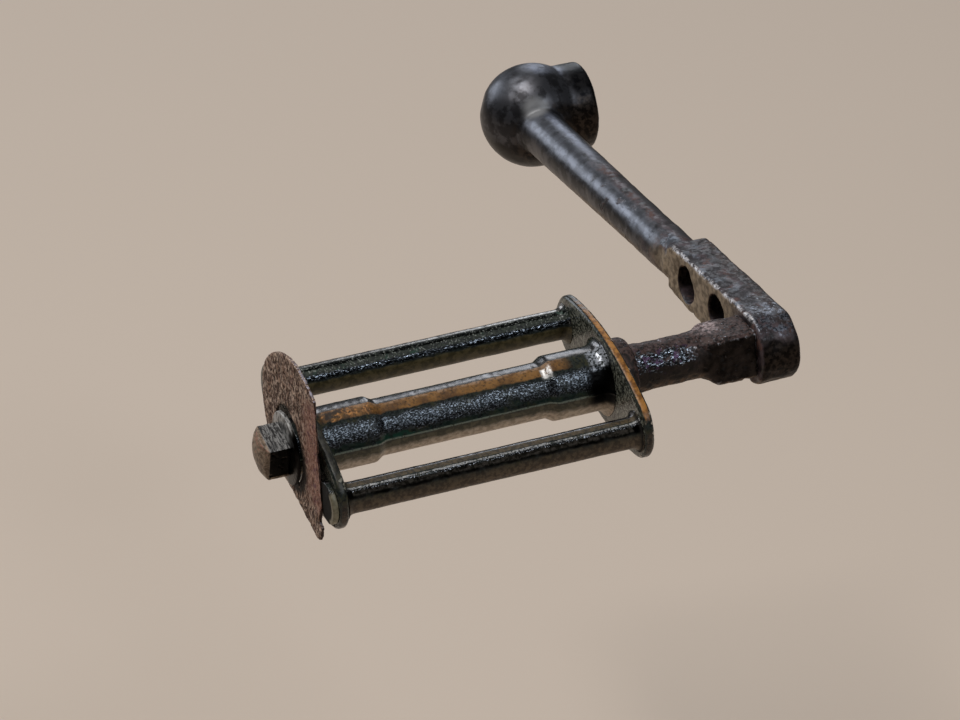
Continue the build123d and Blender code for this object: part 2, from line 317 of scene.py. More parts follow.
def build_band_group():
    """A stripe along a round piece, by the direction of a place from the piece's centre line."""
    tree, entry = new_group("band", ["Vector", "Centre", "Direction"], ["Low", "High", "Ragged"], ["Mask"])
    offset = vector_node(tree, "SUBTRACT", {0: entry["Vector"], 1: entry["Centre"]})
    flat = vector_node(tree, "MULTIPLY", {0: offset, 1: ACROSS_SPINDLE})
    outward = vector_node(tree, "NORMALIZE", {0: flat})
    level = vector_node(tree, "DOT_PRODUCT", {0: outward, 1: entry["Direction"]})
    put(tree, "NodeGroupOutput", {"Mask": ragged_mask(tree, entry, level, BAND_NOISE)})
    return tree


MOTTLE = build_mottle_group()
PITS = build_pit_group()
GRAIN = build_grain_group()
EDGES = build_edge_group()
FACING = build_facing_group()
BAND = build_band_group()


class Finish:
    """A material under construction: layers laid one over another, and the shader that takes them."""

    def __init__(self, name, colour, metallic, roughness, specular):
        self.material = bpy.data.materials.new(name)
        self.material.use_nodes = True
        self.tree = self.material.node_tree
        self.tree.nodes.clear()
        self.place = put(self.tree, "ShaderNodeTexCoord").outputs["Object"]
        self.shader = put(self.tree, "ShaderNodeBsdfPrincipled")
        self.shader.inputs["Specular IOR Level"].default_value = specular
        put(self.tree, "ShaderNodeOutputMaterial", {"Surface": self.shader.outputs[0]})
        self.base = colour
        self.metallic = metallic
        self.roughness = roughness

    def group(self, which, output, inputs):
        """One output of a node group placed in the material."""
        node = self.tree.nodes.new("ShaderNodeGroup")
        node.node_tree = which
        feed(self.tree, node, inputs)
        return node.outputs[output]

    def stretched(self, scale):
        """Object coordinates scaled along each axis, so that a pattern runs along one direction."""
        return put(self.tree, "ShaderNodeMapping", {"Vector": self.place, "Scale": scale}).outputs[0]

    def mottle(self, size, low=0.42, high=0.58, detail=5.0, place=None):
        """Patches of one size in mm, where noise passes from the low level to the high one."""
        return self.group(MOTTLE, "Mask", {
            "Vector": place or self.place, "Size mm": size, "Low": low, "High": high, "Detail": detail,
        })

    def pits(self, size, cover):
        """Pits of one size in mm."""
        return self.group(PITS, "Mask", {"Vector": self.place, "Size mm": size, "Cover": cover})

    def grain(self, size, place=None):
        """A fine height, with grains of one size in mm."""
        return self.group(GRAIN, "Height", {"Vector": place or self.place, "Size mm": size})

    def edges(self, output, sharpness=0.04):
        """Sharp edges for the output Worn, or creases for the output Hollow."""
        return self.group(EDGES, output, {"Vector": self.place, "Sharpness": sharpness})

    def facing(self, direction, low=0.3, high=0.8, ragged=0.0):
        """A mask that grows as surfaces turn to a direction, between two cosines."""
        return self.group(FACING, "Mask", {
            "Vector": self.place, "Direction": direction, "Low": low, "High": high, "Ragged": ragged,
        })

    def band(self, centre, middle, inner, outer, ragged=0.0):
        """A stripe along a round piece: full near its middle angle, gone past the outer one, in degrees.

        The middle angle is counted upwards from the direction of the crank's free end.
        """
        middle, inner, outer, ragged = (math.radians(angle) for angle in (middle, inner, outer, ragged))
        return self.group(BAND, "Mask", {
            "Vector": self.place, "Centre": centre, "Direction": (math.cos(middle), 0, math.sin(middle)),
            "Low": math.cos(outer), "High": math.cos(inner), "Ragged": 2 * math.sin(outer) * ragged,
        })

    def near(self, centre, axes, inner_mm, outer_mm):
        """A mask that fades out between two distances from a point, measured over some axes only."""
        offset = vector_node(self.tree, "SUBTRACT", {0: self.place, 1: centre})
        flat = vector_node(self.tree, "MULTIPLY", {0: offset, 1: axes})
        reach = vector_node(self.tree, "LENGTH", {0: flat})
        return smooth_range(self.tree, reach, inner_mm * MM, outer_mm * MM, 1.0, 0.0)

    def along(self, axis, none_mm, full_mm):
        """A mask that grows along one axis, from the place where it is nothing to where it is full."""
        place = put(self.tree, "ShaderNodeSeparateXYZ", {0: self.place}).outputs[axis]
        return smooth_range(self.tree, place, none_mm * MM, full_mm * MM)

    def marked(self, name):
        """A value kept on the piece's own vertices."""
        return put(self.tree, "ShaderNodeAttribute", attribute_name=name).outputs["Fac"]

    def both(self, *masks):
        """What all the masks share."""
        shared = masks[0]
        for mask in masks[1:]:
            shared = math_node(self.tree, "MULTIPLY", shared, mask)
        return shared

    def either(self, *masks):
        """The strongest of the masks."""
        strongest = masks[0]
        for mask in masks[1:]:
            strongest = math_node(self.tree, "MAXIMUM", strongest, mask)
        return strongest

    def without(self, mask, taken):
        """The part of a mask that another one leaves free."""
        return self.both(mask, math_node(self.tree, "SUBTRACT", 1.0, taken))

    def colour(self, factor, first, second):
        """The first colour where the factor is nothing, the second where it is full."""
        return blend_colours(self.tree, factor, first, second)

    def value(self, factor, first, second):
        """The first value where the factor is nothing, the second where it is full."""
        return blend_values(self.tree, factor, first, second)

    def lay(self, mask, colour, metallic=0.0, roughness=None):
        """Lays a colour and its sheen over what is there, where the mask is."""
        self.base = self.colour(mask, self.base, colour)
        self.metallic = self.value(mask, self.metallic, metallic)
        if roughness is not None:
            self.roughness = self.value(mask, self.roughness, roughness)

    def bump(self, height, distance_mm, normal=None):
        """The bump of a height, over another bump where one is given."""
        inputs = {"Height": height, "Distance": distance_mm * MM}
        if normal is not None:
            inputs["Normal"] = normal
        return put(self.tree, "ShaderNodeBump", inputs).outputs["Normal"]

    def done(self, normal):
        """The finished material, with its layers and its bump given to the shader."""
        feed(self.tree, self.shader, {
            "Base Color": self.base, "Metallic": self.metallic, "Roughness": self.roughness, "Normal": normal,
        })
        return self.material


# Finishes: each layer has a mask, a colour, and where needed its metallic value and roughness

def casting_skin(name):
    """Green-black patina of the gunmetal castings, a little browner in patches."""
    f = Finish(name, (0.006, 0.008, 0.008), 0.0, 0.24, specular=0.3)
    f.lay(f.mottle(0.9), (0.019, 0.024, 0.021))
    f.lay(f.both(f.mottle(4.0, 0.46, 0.62), f.mottle(1.0, 0.4, 0.6)), (0.030, 0.030, 0.017))
    return f


def painted_glints(f, mask, ground, size, level, shade, roughness):
    """Painted glints: tiny pale, bluish wet-looking specks on near-black, drawn out along the piece, laid
    only where the mask puts them.
    """
    f.lay(mask, [ground * part for part in GROUND_TINT], METAL, roughness)
    specks = f.mottle(size, level, level + SPECK_EDGE, 4.0, f.stretched(SPECK_STRETCH))
    f.lay(f.both(mask, specks), [shade * part for part in GLINT_TINT], METAL, roughness)


def sparkle(f, size, distance, mask, least):
    """Fine grain, stronger where the mask is, which breaks a highlight into glints."""
    share = f.value(mask, least, 1.0)
    return f.bump(f.both(f.grain(size), share), distance)


def barrel_finish():
    """Cast gunmetal: orange-brown along the top, glinting black below, green by the moulding line."""
    f = casting_skin("barrel_gunmetal")
    # Green by the moulding line, full in one stretch only
    green = f.both(f.band(BARREL_AXIS, 6, 5, 13, 10), f.mottle(5.0, 0.42, 0.54))
    greenest = f.both(f.along("Y", -120, -128), f.along("Y", -142, -139))
    f.lay(f.both(green, f.value(greenest, 0.25, 1.0)), (0.009, 0.042, 0.027))
    # Brown under that line; paler at the bottom, a painted reflection of the floor
    brown = f.colour(f.mottle(1.6), (0.036, 0.033, 0.018), (0.078, 0.066, 0.038))
    f.lay(f.band(BARREL_AXIS, -18, 7, 14, 6), brown)
    below = f.colour(f.mottle(1.4), (0.27, 0.210, 0.150), (0.45, 0.365, 0.280))
    f.lay(f.band(BARREL_AXIS, -60, 26, 42, 8), below, roughness=0.45)
    # Black above the line, with painted glints where the front lamp is reflected
    glinting = f.both(f.band(BARREL_AXIS, 28, 12, 22, 8), f.mottle(6.0, 0.26, 0.50))
    painted_glints(f, glinting, ground=0.020, size=0.32, level=0.50, shade=0.32, roughness=0.28)
    # Orange-brown where shoes have rubbed, brighter outboard, with dark specks. The band along the top is
    # also a painted warm reflection of the overhead light, lighter next to the top streak as a painted
    # highlight
    rubbed = f.both(f.band(BARREL_AXIS, 67, 11, 16, 6), f.mottle(12.0, 0.24, 0.36))
    rubbed = f.without(f.both(rubbed, f.along("Y", -156.5, -153)), f.along("Y", -85, -80))
    warm = f.colour(f.mottle(5.0, 0.36, 0.62), (0.080, 0.034, 0.008), (0.200, 0.095, 0.024))
    warm = f.colour(f.both(f.band(BARREL_AXIS, 79, 3, 10), f.mottle(2.4)), warm, (0.26, 0.155, 0.085))
    bright = f.both(f.mottle(0.9, 0.50, 0.62), f.along("Y", -138, -141))
    warm = f.colour(bright, warm, (0.40, 0.18, 0.055))
    worn_off = f.both(f.mottle(2.2, 0.40, 0.56), f.along("Y", -144, -150))
    warm = f.colour(worn_off, warm, (0.024, 0.015, 0.009))
    warm = f.colour(f.mottle(0.7, 0.50, 0.66), warm, (0.046, 0.022, 0.007))
    f.lay(rubbed, warm, roughness=0.42)
    # Painted sheen along the top: a smooth grey streak and a brighter crest. Then the moulding line
    painted_sheen = f.colour(f.mottle(2.0, 0.38, 0.60), (0.070, 0.070, 0.072), (0.120, 0.114, 0.116))
    f.lay(f.band(BARREL_AXIS, 92, 9, 14, 5), painted_sheen, METAL, 0.24)
    painted_crest_highlight = f.both(f.band(BARREL_AXIS, 84, 2.5, 6, 3), f.mottle(1.6, 0.36, 0.54))
    f.lay(painted_crest_highlight, (0.155, 0.145, 0.140), METAL, 0.26)
    seam = f.both(f.band(BARREL_AXIS, MOULD_ANGLE, 0.8, 2.4), f.mottle(0.7, 0.32, 0.50))
    f.lay(seam, (0.17, 0.19, 0.15))
    f.lay(f.edges("Hollow"), (0.008, 0.013, 0.009))
    # Painted shadow in black beside the inner plate, and painted highlights on the pale rubbed edges of the
    # step and the flare
    painted_shadow_by_plate = f.both(f.along("Y", -80, -76), f.band(BARREL_AXIS, 8, 26, 42))
    f.lay(painted_shadow_by_plate, (0.004, 0.004, 0.004), METAL, 0.3)
    step = f.both(f.near(INNER_STEP_AT, ALONG_SPINDLE, 1.0, 1.8), f.band(BARREL_AXIS, 58, 9, 15, 10))
    flare = f.both(f.near(FLARE_AT, ALONG_SPINDLE, 2.0, 3.6), f.band(BARREL_AXIS, 62, 14, 24, 10))
    f.lay(f.both(step, f.mottle(0.8, 0.36, 0.50)), (0.56, 0.54, 0.52), 0.3, 0.4)
    f.lay(f.both(flare, f.mottle(0.8, 0.42, 0.56)), (0.40, 0.42, 0.46), 0.5, 0.3)
    return f.done(sparkle(f, 0.45, 0.26, glinting, 0.12))


def front_rod_finish():
    """Gunmetal rod: a dull brown band and a worn bright line along its top, black and brown below."""
    axis = FRONT_ROD_AXIS
    f = casting_skin("front_rod_gunmetal")
    # Brown underside, lightened as a painted reflection of the floor, and a black front laid as painted shade
    below = f.colour(f.mottle(1.4), (0.036, 0.022, 0.011), (0.090, 0.062, 0.036))
    f.lay(f.band(axis, -46, 12, 80, 8), below, roughness=0.45)
    black = f.colour(f.mottle(1.2), (0.0016, 0.0014, 0.001), (0.006, 0.005, 0.004))
    f.lay(f.band(axis, 36, 9, 22, 6), black, METAL, 0.3)
    # Rubbed brown band, a smooth grey streak of painted sheen, and worn line along the top
    rubbed = f.both(f.band(axis, 78, 10, 14, 4), f.along("Y", *ROD_BEFORE_BOSS))
    f.lay(rubbed, f.colour(f.mottle(1.0), (0.024, 0.017, 0.008), (0.066, 0.046, 0.022)), roughness=0.5)
    painted_sheen = f.colour(f.mottle(1.5, 0.38, 0.62), (0.120, 0.116, 0.120), (0.260, 0.250, 0.256))
    f.lay(f.band(axis, 104, 11, 17, 4), painted_sheen, METAL, 0.26)
    line = f.both(f.band(axis, 58, 2.0, 4.5, 4), f.mottle(0.55, 0.38, 0.54))
    line = f.both(line, f.along("Y", *ROD_BEFORE_BOSS))
    f.lay(line, (0.33, 0.325, 0.32), 0.2, 0.35)
    specks = f.both(f.band(axis, 52, 3, 7, 6), f.mottle(0.4, 0.53, 0.60))
    f.lay(specks, (0.19, 0.195, 0.21), METAL, 0.3)
    # Flat boss outside the outer plate: a black face as painted shadow of the guard, with one olive strip
    # near its rim as a painted highlight
    painted_boss_highlight = f.both(f.along("Y", -158.6, -159.2), f.band(axis, -10, 50, 66))
    painted_boss_highlight = f.without(painted_boss_highlight, f.near(axis, ACROSS_SPINDLE, 4.2, 5.0))
    f.lay(f.facing(OUTBOARD, 0.6, 0.9), (0.004, 0.003, 0.002), 0.0, 0.95)
    f.lay(painted_boss_highlight, f.colour(f.mottle(1.6), (0.12, 0.105, 0.066), (0.19, 0.17, 0.115)), roughness=0.4)
    f.lay(f.edges("Hollow"), (0.006, 0.008, 0.007))
    return f.done(sparkle(f, 0.5, 0.18, f.band(axis, 58, 8, 18), 0.22))


def rear_rod_finish():
    """Gunmetal rod: green-black with pale flecks above, a bright dotted line, olive-brown below."""
    axis = REAR_ROD_AXIS
    f = casting_skin("rear_rod_gunmetal")
    # Upper side: green-black with green patches, a glossy streak and pale flecks
    above = f.band(axis, 62, 20, 26, 8)
    skin = f.colour(f.mottle(0.9, 0.42, 0.62), (0.003, 0.005, 0.004), (0.024, 0.031, 0.021))
    f.lay(above, skin, roughness=0.5)
    f.lay(f.both(above, f.mottle(5.0, 0.56, 0.66)), (0.007, 0.034, 0.021))
    glossy = f.both(f.band(axis, 72, 7, 13, 6), f.mottle(2.0, 0.34, 0.50))
    f.lay(glossy, (0.004, 0.005, 0.004), METAL, 0.3)
    f.lay(f.both(above, f.mottle(0.55, 0.58, 0.64, 3.0)), (0.21, 0.22, 0.20), 0.3, 0.35)
    # Olive-brown underside, lightened as a painted reflection of the floor; the dotted line in front, of
    # painted glints; and a grey streak of painted sheen behind the top
    brown = f.colour(f.mottle(2.0), (0.038, 0.030, 0.011), (0.082, 0.064, 0.028))
    f.lay(f.band(axis, -35, 44, 52, 6), brown, roughness=0.42)
    painted_glints(f, f.band(axis, 30, 6, 12, 5), ground=0.009, size=0.40, level=0.51, shade=0.40, roughness=0.26)
    painted_sheen = f.colour(f.mottle(1.5, 0.38, 0.62), (0.125, 0.118, 0.112), (0.300, 0.282, 0.266))
    f.lay(f.band(axis, 102, 12, 19, 4), painted_sheen, METAL, 0.26)
    f.lay(f.edges("Hollow"), (0.006, 0.010, 0.007))
    return f.done(sparkle(f, 0.5, 0.20, f.band(axis, 36, 10, 20), 0.25))


def plate_finish(name, bloom_light, warm_dark, warm_light, arris):
    """Gunmetal end plates: grey-green mottled faces, a rim that shoes have rubbed with painted light and
    shade on it, a worn arris.
    """
    f = casting_skin(name)
    # Mottled outboard face, with painted shade round the barrel
    bloom = f.colour(f.mottle(0.8, 0.42, 0.60), (0.007, 0.009, 0.006), bloom_light)
    f.lay(f.both(f.facing(OUTBOARD, 0.7, 0.95), f.mottle(3.4, 0.34, 0.50)), bloom)
    f.lay(f.near(BARREL_AXIS, ACROSS_SPINDLE, 9.5, 13.5), (0.006, 0.006, 0.005))
    # Rim: warm where rubbed, also a painted reflection of the overhead light; greyer over the rear end;
    # painted shade on the front end
    warm = f.colour(f.mottle(1.8, 0.38, 0.62), warm_dark, warm_light)
    f.lay(f.facing(RIM_TOP, 0.80, 0.93, 0.06), warm, roughness=0.40)
    f.lay(f.facing(RIM_REAR, 0.90, 0.985, 0.05), (0.050, 0.048, 0.046), 0.6, 0.35)
    dark = f.colour(f.mottle(1.2), (0.012, 0.008, 0.006), (0.050, 0.034, 0.022))
    f.lay(f.facing(RIM_FRONT, 0.75, 0.95, 0.1), dark)
    f.lay(f.edges("Hollow"), (0.007, 0.009, 0.006))
    f.lay(f.edges("Worn", 0.05), arris, 0.2, 0.35)
    return f.done(f.bump(f.grain(0.8), 0.14))


def crank_finish():
    """Forged iron: remains of glossy black paint on ball and shank, purple-brown rust on the flat end."""
    f = Finish("painted_forged_iron", (0.036, 0.035, 0.038), METAL, 0.40, specular=0.3)
    f.lay(f.mottle(4.0), (0.085, 0.085, 0.094), METAL)
    # Ball and shank: painted shade on the underside, painted bluish highlights along two lines, a painted
    # highlight on the crease between them
    ball_painted_shade = f.both(f.facing(BALL_UNDERSIDE, 0.40, 0.80), f.along("X", 22, 12))
    f.lay(ball_painted_shade, (0.018, 0.015, 0.012), METAL)
    painted_lit_line = f.both(f.facing(LIT_LINE, 0.84, 0.97, 0.08), f.mottle(6.0, 0.30, 0.44))
    painted_lit_line = f.both(painted_lit_line, f.value(f.along("X", 8, 14), 0.5, 1.0))
    f.lay(painted_lit_line, f.colour(f.mottle(3.0), (0.115, 0.119, 0.134), (0.165, 0.172, 0.196)), METAL, 0.40)
    second = f.both(f.facing(SECOND_LINE, 0.92, 0.985, 0.05), f.along("X", 72, 48))
    second = f.both(second, f.mottle(4.0, 0.28, 0.42))
    f.lay(second, f.colour(f.mottle(2.0), (0.090, 0.095, 0.120), (0.140, 0.148, 0.180)), METAL, 0.40)
    f.lay(f.near(JOINT_AT, ALL_WAYS, 2.0, 5.5), (0.20, 0.20, 0.205), 0.2, 0.45)
    # Near-black inboard side, painted shadow of the wheel's hub; bare brown along the shank's lower outboard
    # side, lightened as a painted reflection of the floor
    painted_hub_shadow = f.colour(f.mottle(3.0), (0.006, 0.006, 0.007), (0.020, 0.019, 0.020))
    f.lay(f.along("Y", -9, -5), painted_hub_shadow, METAL)
    lower = f.both(f.facing(LOWER_OUTBOARD, 0.86, 0.97, 0.08), f.along("X", 40, 75))
    lower = f.both(lower, f.mottle(2.6, 0.30, 0.50))
    f.lay(lower, f.colour(f.mottle(1.6), (0.085, 0.060, 0.042), (0.215, 0.165, 0.120)), roughness=0.5)
    # Rust: scattered at first, along the worn top, and all over the flat end
    rusted = f.either(
        f.both(f.along("X", 96, 124), f.mottle(6.0, 0.30, 0.44)),
        f.both(f.facing(WORN_TOP, 0.80, 0.95, 0.1), f.along("X", 44, 74)),
        f.along("X", *FLAT_END),
        f.both(f.mottle(5.0, 0.56, 0.66), f.along("X", 60, 84)),
    )
    rust = f.colour(f.mottle(4.2, 0.40, 0.60), (0.010, 0.007, 0.008), (0.058, 0.040, 0.045))
    rust = f.colour(f.both(f.mottle(6.0, 0.50, 0.60), f.mottle(1.8)), rust, (0.075, 0.036, 0.030))
    rust = f.colour(f.mottle(1.5, 0.58, 0.68), rust, (0.008, 0.006, 0.007))
    f.lay(rusted, rust, roughness=f.value(f.mottle(1.8), 0.42, 0.66))
    # Between shank and flat end: a painted highlight along a low line, a dark inboard side, a painted bluish
    # reflection on the upper side
    low_line = f.both(f.along("X", 82, 92), f.along("X", 122, 112))
    low_line = f.both(f.facing(LOW_LINE, 0.90, 0.98, 0.06), low_line)
    f.lay(low_line, f.colour(f.mottle(2.6), (0.105, 0.109, 0.124), (0.165, 0.172, 0.196)), METAL, 0.38)
    inboard = f.both(f.along("X", 62, 82), f.along("X", 126, 120))
    inboard = f.both(f.facing(UPPER_INBOARD, 0.60, 0.85, 0.06), inboard)
    f.lay(inboard, (0.015, 0.011, 0.012), roughness=0.6)
    painted_blue_reflection = f.both(f.facing(UPPER_OUTBOARD, 0.84, 0.97, 0.08), f.mottle(4.5, 0.46, 0.56))
    painted_blue_reflection = f.both(painted_blue_reflection, f.along("X", 112, 120))
    f.lay(painted_blue_reflection, f.colour(f.mottle(2.4), (0.040, 0.045, 0.057), (0.160, 0.178, 0.215)), roughness=0.5)
    # Flat end: dark patches and a dark far side on top, and a pale outboard side
    dark = f.both(f.facing(UP, 0.6, 0.9), f.mottle(4.6, 0.45, 0.55), f.along("X", *FLAT_END))
    f.lay(dark, (0.013, 0.009, 0.011))
    far_side = f.both(f.facing(UP, 0.6, 0.9), f.along("Y", -20.5, -15.5), f.along("X", 120, 128))
    far_side = f.both(far_side, f.mottle(5.0, 0.34, 0.50))
    f.lay(far_side, f.colour(f.mottle(1.6), (0.010, 0.007, 0.006), (0.042, 0.026, 0.022)))
    outer = f.both(f.facing(OUTBOARD, 0.74, 0.94, 0.06), f.along("X", 112, 128))
    outer = f.without(outer, f.near(EYE_AT, ACROSS_SPINDLE, 8.5, 15.0))
    bare = f.colour(f.mottle(2.2, 0.36, 0.64), (0.11, 0.080, 0.050), (0.29, 0.225, 0.155))
    f.lay(outer, bare, roughness=0.6)
    # Brown underside from the shank on, palest at its very bottom as a painted reflection of the floor
    under = f.both(f.facing(DOWN, 0.35, 0.80, 0.12), f.mottle(2.0, 0.28, 0.52), f.along("X", 14, 34))
    f.lay(under, f.colour(f.mottle(1.6), (0.065, 0.037, 0.020), (0.21, 0.135, 0.080)), roughness=0.5)
    f.lay(f.facing(CRANK_BOTTOM, 0.88, 0.98, 0.05), (0.20, 0.135, 0.088), roughness=0.5)
    f.lay(f.both(f.edges("Hollow"), f.along("X", 100, 124)), (0.006, 0.005, 0.005))
    # Round the eye: wet specks on top as painted glints, a bluish corner on top as a painted highlight,
    # painted shade on the front face
    top = f.both(f.facing(UP, 0.55, 0.85), f.near(EYE_AT, ALONG_CRANK, 8.0, 15.0))
    top = f.both(top, f.mottle(4.0, 0.44, 0.56))
    f.lay(f.both(top, f.mottle(0.8, 0.57, 0.65, 3.0)), (0.20, 0.21, 0.24), METAL, 0.28)
    painted_corner_highlight = f.both(f.facing(TIP_CORNER, 0.82, 0.95, 0.08), f.along("X", 176, 182))
    painted_corner_highlight = f.both(painted_corner_highlight, f.mottle(2.2, 0.46, 0.58))
    f.lay(painted_corner_highlight, f.colour(f.mottle(0.8), (0.030, 0.031, 0.037), (0.175, 0.184, 0.215)), METAL, 0.36)
    front = f.colour(f.mottle(1.6), (0.010, 0.008, 0.007), (0.036, 0.028, 0.023))
    f.lay(f.facing(TIP_FACE, 0.60, 0.88, 0.08), front, METAL)
    # Upper outboard arris of the flat end, chipped to bare metal
    chipped = f.both(f.near(ARRIS_AT, ACROSS_CRANK, 0.5, 1.1), f.along("X", 130, 134))
    chipped = f.both(chipped, f.mottle(2.6, 0.42, 0.58), f.mottle(0.8, 0.38, 0.50))
    f.lay(chipped, (0.50, 0.48, 0.49), 0.4, 0.35)
    normal = f.bump(f.both(f.grain(3.0), f.value(rusted, 0.10, 1.0)), 0.24)
    return f.done(f.bump(f.both(f.grain(0.9), rusted), 0.05, normal))


def spindle_finish():
    """Pitted iron with purple-brown rust, with painted glints as its wet-looking specks."""
    f = Finish("pitted_spindle_iron", (0.010, 0.006, 0.005), 0.0, 0.55, specular=0.2)
    f.lay(f.mottle(1.3, 0.40, 0.60), (0.058, 0.034, 0.029))
    f.lay(f.mottle(3.4, 0.52, 0.64), (0.070, 0.044, 0.042))
    f.lay(f.pits(*SPINDLE_PITS), (0.004, 0.003, 0.003))
    # Square block: painted shade on the front face, darker still on the sides beside it; brown below
    front = f.both(f.facing(TO_TIP, 0.80, 0.95), f.along("Y", *BLOCK))
    f.lay(front, f.colour(f.mottle(3.2, 0.36, 0.66), (0.011, 0.009, 0.008), (0.034, 0.027, 0.024)), METAL)
    side = f.without(f.facing(TIP_FACE, 0.74, 0.92, 0.10), front)
    f.lay(side, f.colour(f.mottle(3.0, 0.36, 0.66), (0.006, 0.004, 0.003), (0.022, 0.014, 0.010)))
    brown = f.colour(f.mottle(1.5), (0.028, 0.016, 0.008), (0.10, 0.058, 0.032))
    f.lay(f.facing(DOWN, 0.25, 0.75, 0.12), brown)
    # Round shaft: painted glints in a band along its lit side, with purple patches
    shaft = f.both(f.along("Y", -43, -48), f.along("Y", -63.5, -61))
    band = f.both(f.facing(SHAFT_LIT_SIDE, 0.90, 0.98, 0.06), shaft, f.mottle(3.0, 0.32, 0.50))
    painted_glints(f, band, ground=0.014, size=0.45, level=0.51, shade=0.56, roughness=0.28)
    purple = f.both(f.facing(SHAFT_FRONT, 0.80, 0.95), shaft, f.mottle(2.2, 0.54, 0.62))
    f.lay(purple, (0.075, 0.045, 0.080), METAL, 0.4)
    # Pale scale on the ramp, lightened as a painted highlight; wet specks on top as painted glints; worn
    # edges on the block
    ramp = f.both(f.near(RAMP_AT, ALL_WAYS, 2.5, 6.5), f.facing(UP, 0.5, 0.8), f.mottle(2.0, 0.38, 0.54))
    f.lay(ramp, f.colour(f.mottle(0.8), (0.09, 0.060, 0.056), (0.33, 0.255, 0.250)), roughness=0.5)
    painted_crown_glints = f.both(f.facing(UP, 0.6, 0.9), f.mottle(0.7, 0.62, 0.68, 3.0), f.mottle(4.0, 0.46, 0.56))
    f.lay(painted_crown_glints, (0.24, 0.23, 0.25), METAL, 0.28)
    f.lay(f.edges("Hollow"), (0.004, 0.003, 0.003))
    worn = f.both(f.edges("Worn"), f.mottle(0.8, 0.36, 0.52), f.along("Y", *BLOCK))
    f.lay(worn, (0.46, 0.45, 0.48), 0.8, 0.3)
    normal = f.bump(f.both(f.grain(0.9), f.value(band, 0.5, 1.0)), 0.32)
    return f.done(f.bump(f.pits(*SPINDLE_PITS), -0.18, normal))


def sheet_finish():
    """Thin iron eaten by rust: upright flecks of tan and dark brown, pinker by its front edge."""
    f = Finish("rust_eaten_sheet", (0.062, 0.032, 0.022), 0.0, 0.62, specular=0.2)
    upright = f.stretched((1.0, 1.0, 0.50))
    flecks = f.mottle(0.56, 0.44, 0.58, 4.0, upright)
    f.lay(flecks, f.colour(f.mottle(3.0, 0.40, 0.60), (0.40, 0.262, 0.192), (0.70, 0.530, 0.420)))
    # Thinned front margin: pink with dark specks, purple in patches
    margin = f.both(f.marked("margin"), f.mottle(2.5, 0.22, 0.40))
    pink = f.colour(f.mottle(1.4, 0.36, 0.64), (0.23, 0.098, 0.070), (0.52, 0.310, 0.240))
    f.lay(margin, f.colour(f.mottle(0.5, 0.56, 0.64), pink, (0.07, 0.036, 0.030)), roughness=0.48)
    purple = f.both(f.mottle(3.2, 0.54, 0.62), f.value(f.marked("margin"), 0.15, 0.9))
    f.lay(purple, f.colour(f.mottle(0.8), (0.085, 0.028, 0.036), (0.22, 0.095, 0.110)), roughness=0.45)
    # Painted shade: black round the washer where the nut and washer shade the guard. A pale upper edge as a
    # painted highlight, and painted shade on the front edge
    painted_shade_ring = f.both(f.near(SHADE_RING_AT, ACROSS_SPINDLE, 10.4, 12.6), f.mottle(1.6, 0.22, 0.40))
    f.lay(painted_shade_ring, (0.012, 0.008, 0.006))
    rim = f.facing(GUARD_UPPER_EDGE, 0.70, 0.92)
    f.lay(f.both(rim, f.mottle(1.2, 0.40, 0.58)), (0.36, 0.33, 0.38), 0.2, 0.35)
    f.lay(f.facing(GUARD_FRONT_EDGE, 0.6, 0.9), (0.050, 0.028, 0.022))
    f.lay(f.edges("Hollow"), (0.026, 0.014, 0.011))
    return f.done(f.bump(f.grain(0.45), 0.08, f.bump(flecks, 0.18)))


def nut_finish():
    """Worn dark steel: a grooved grey top, a black front, and a brown domed end with a reddish edge."""
    f = Finish("worn_nut_steel", (0.016, 0.016, 0.016), 0.0, 0.5, specular=0.3)
    scratch = f.stretched((0.16, 1.0, 0.16))
    f.lay(f.mottle(0.42, 0.42, 0.58, 2.0, scratch), (0.21, 0.205, 0.20))
    f.lay(f.mottle(0.6, 0.55, 0.62), (0.006, 0.005, 0.005))
    # Domed end, reddish over its upper edge
    end = f.either(f.facing(OUTBOARD, 0.55, 0.85), f.along("Y", *NUT_DOME))
    brown = f.colour(f.mottle(1.1, 0.36, 0.64), (0.085, 0.056, 0.036), (0.27, 0.195, 0.135))
    f.lay(end, brown, roughness=0.42)
    f.lay(f.both(end, f.mottle(0.7, 0.60, 0.66)), (0.03, 0.018, 0.012))
    red = f.both(f.facing(NUT_CROWN_EDGE, 0.86, 0.96), f.mottle(1.2, 0.40, 0.56))
    f.lay(red, (0.30, 0.16, 0.115))
    # Painted shade on the front face; its lower edge and the underside
    front = f.both(f.facing(NUT_FRONT, 0.50, 0.80), f.along("Y", *NUT_SIDES))
    f.lay(front, (0.0025, 0.0018, 0.001), METAL, 0.5)
    lower_edge = f.both(f.near(NUT_EDGE_AT, ACROSS_SPINDLE, 0.5, 1.1), f.mottle(1.0, 0.30, 0.46))
    f.lay(lower_edge, f.colour(f.mottle(0.8), (0.10, 0.070, 0.046), (0.34, 0.26, 0.185)))
    f.lay(f.facing(NUT_UNDERSIDE, 0.50, 0.80), (0.17, 0.12, 0.085))
    return f.done(f.bump(f.grain(0.42, scratch), 0.12))


